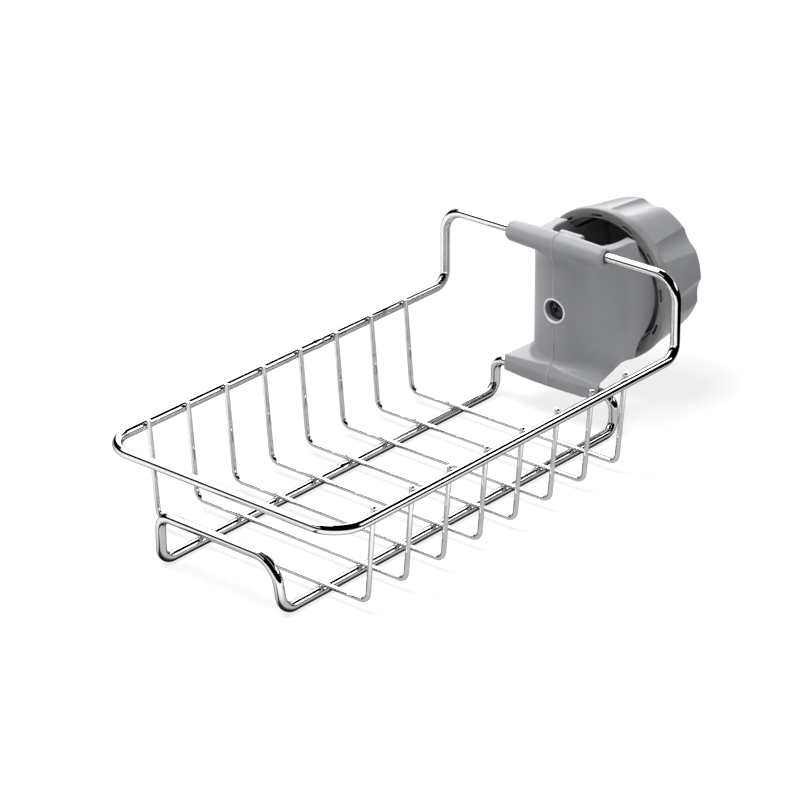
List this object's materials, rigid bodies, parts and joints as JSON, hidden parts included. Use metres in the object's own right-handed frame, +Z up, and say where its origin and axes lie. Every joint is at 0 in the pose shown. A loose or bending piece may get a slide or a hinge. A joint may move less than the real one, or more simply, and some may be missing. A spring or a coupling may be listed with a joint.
{
  "type": "faucet organizer rack",
  "caption": "Small open basket of chrome wire with a moulded grey screw clamp at its back that grips a faucet's spout, so that the basket holds soap and sponges over the sink.",
  "frame": {"origin": "on the floor under the middle of the rack's overall length, midway between its side rails", "axes": "+X to the right when the clamp is at the far end, +Y from the front rail towards the knob, +Z up"},
  "size_m": [0.0982, 0.211, 0.0649],
  "materials": {
    "chromed_wire": "polished",
    "clamp_plastic": "satin",
    "saddle_plastic": "satin",
    "knob_plastic": "satin",
    "ring_rubber": "matt",
    "screw_steel": "dark oxide"
  },
  "bodies": {
    "rack": {"rim_wire": "chromed_wire", "base_wire": "chromed_wire", "cross_wire_1": "chromed_wire", "cross_wire_2": "chromed_wire", "cross_wire_3": "chromed_wire", "cross_wire_4": "chromed_wire", "cross_wire_5": "chromed_wire", "cross_wire_6": "chromed_wire", "cross_wire_7": "chromed_wire", "cross_wire_8": "chromed_wire", "clamp_body": "clamp_plastic", "pipe_saddle": "saddle_plastic", "saddle_screw": "screw_steel"},
    "pressure_ring": {"pressure_ring": "ring_rubber"},
    "knob": {"knob": "knob_plastic"}
  },
  "joints": [
    {"name": "ring_slide", "type": "slide", "parent": "rack", "child": "pressure_ring", "axis": [0, 1, 0], "range_m": [-0.002, 0.01]},
    {"name": "knob_turn", "type": "hinge", "parent": "pressure_ring", "child": "knob", "pos_m": [0, 0.0948, 0.0382], "axis": [0, 1, 0], "range_deg": [-90, 450]}
  ],
  "couplings": [
    {"joint": "ring_slide", "follows": "knob_turn", "m_per_rad": 0.001273}
  ]
}
